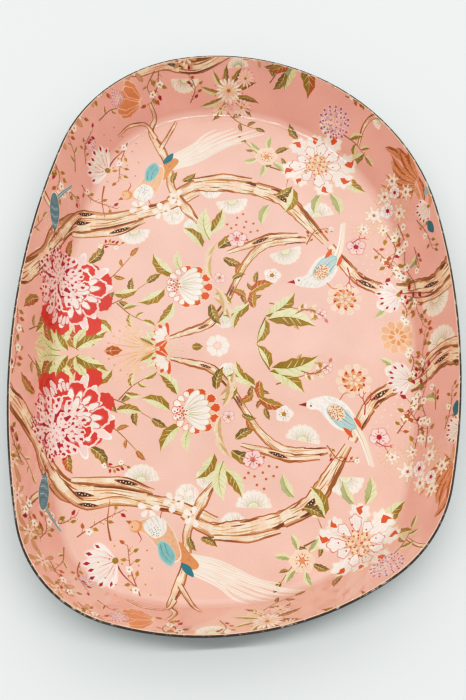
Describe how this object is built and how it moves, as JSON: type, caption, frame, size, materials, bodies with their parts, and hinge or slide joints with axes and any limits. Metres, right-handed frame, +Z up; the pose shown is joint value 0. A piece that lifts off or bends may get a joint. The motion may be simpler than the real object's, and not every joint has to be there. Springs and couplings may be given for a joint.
{
  "type": "serving tray",
  "caption": "Shallow pebble-shaped serving tray with a flared wall, printed inside with a mirrored pattern of branches, birds and flowers",
  "frame": {"origin": "middle of the outline's bounding box, on the surface that the tray stands on", "axes": "+Z up, out of the tray's open side; +Y along the tray's longest side, towards its narrower end; +X to the right, across the tray, along the line about which the printed pattern is mirrored"},
  "size_m": [0.3306, 0.4588, 0.048],
  "materials": {
    "black_backing": "satin black, fine pressed grain",
    "dark_core": "bare cut edge, dark brown-black, lightly polished",
    "printed_decor": "salmon pink ground with printed branches, birds and flowers",
    "clear_overlay": "clear, glossy"
  },
  "bodies": {
    "root": {"backing_sheet": "black_backing", "core": "dark_core", "decor_sheet": "printed_decor", "clear_overlay": "clear_overlay"}
  },
  "joints": []
}
